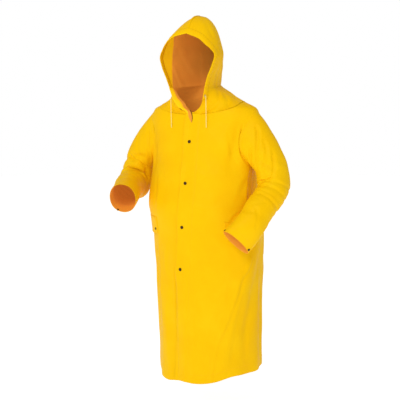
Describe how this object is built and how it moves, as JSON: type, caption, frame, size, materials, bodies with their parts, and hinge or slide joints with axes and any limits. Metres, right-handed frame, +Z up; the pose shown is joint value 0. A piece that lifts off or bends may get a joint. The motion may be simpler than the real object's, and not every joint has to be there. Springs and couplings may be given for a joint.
{
  "type": "hooded raincoat",
  "caption": "Long hooded raincoat in its worn shape: hollow body with a snapped storm flap, pocket flaps, set-in sleeves with one hand raised, and a deep hood with a drawstring casing.",
  "frame": {"origin": "in the middle of the neck, just above the seam that joins the hood, where the wearer's shoulders hold the coat up", "axes": "+Z up, -Y out of the coat's front, +X to the wearer's left"},
  "size_m": [0.8161, 0.5033, 1.5577],
  "materials": {
    "coated_cloth": "smooth coated cloth with a soft sheen",
    "snap_metal": "dark satin enamel",
    "eyelet_metal": "satin",
    "cord": "matte braided cord"
  },
  "bodies": {
    "root": {"front_left": "coated_cloth", "front_right": "coated_cloth", "back": "coated_cloth", "sleeve_left": "coated_cloth", "sleeve_right": "coated_cloth", "hood_left": "coated_cloth", "hood_right": "coated_cloth", "hood_casing": "coated_cloth", "storm_flap": "coated_cloth", "pocket_flap_left": "coated_cloth", "pocket_flap_right": "coated_cloth", "snap_front_1": "snap_metal", "snap_front_2": "snap_metal", "snap_front_3": "snap_metal", "snap_front_4": "snap_metal", "snap_collar": "snap_metal", "snap_pocket_left": "snap_metal", "snap_pocket_right": "snap_metal", "snap_cuff_left_1": "snap_metal", "snap_cuff_left_2": "snap_metal", "snap_cuff_right": "snap_metal", "eyelet_left": "eyelet_metal", "eyelet_right": "eyelet_metal", "drawstring_left": "cord", "drawstring_right": "cord"}
  },
  "joints": []
}
